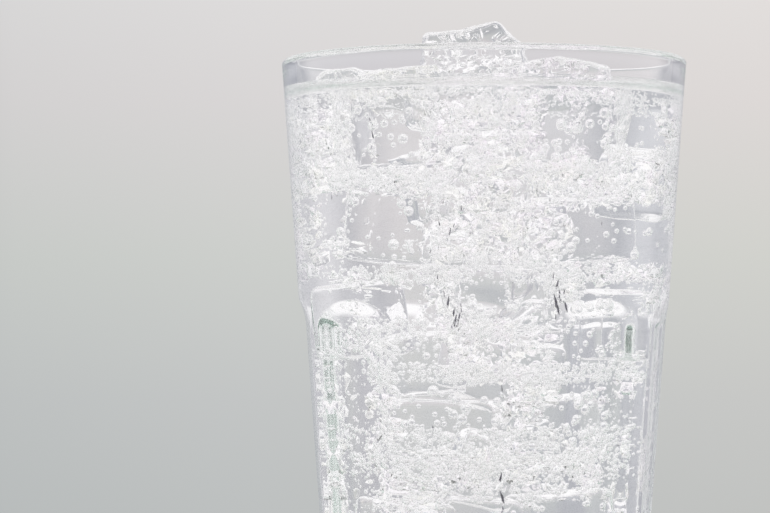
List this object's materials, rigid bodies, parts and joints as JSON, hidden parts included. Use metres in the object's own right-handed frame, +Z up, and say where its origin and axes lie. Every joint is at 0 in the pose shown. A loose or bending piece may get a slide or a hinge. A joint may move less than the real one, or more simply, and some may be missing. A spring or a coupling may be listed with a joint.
{
  "type": "glass of club soda",
  "caption": "Tall panelled clear tumbler filled with sparkling soda water and ice, with lumps of ice standing above the drink.",
  "frame": {"origin": "middle of the tumbler's flat base", "axes": "+Z up along the tumbler's axis, -Y towards the viewer, +X to the viewer's right"},
  "size_m": [0.0878, 0.0878, 0.1567],
  "materials": {
    "glass": "polished",
    "soda": "liquid",
    "ice": "wet"
  },
  "bodies": {
    "root": {"glass": "glass", "soda": "soda", "ice_peak": "ice", "ice_right": "ice", "ice_front": "ice", "ice_left": "ice"}
  },
  "joints": []
}
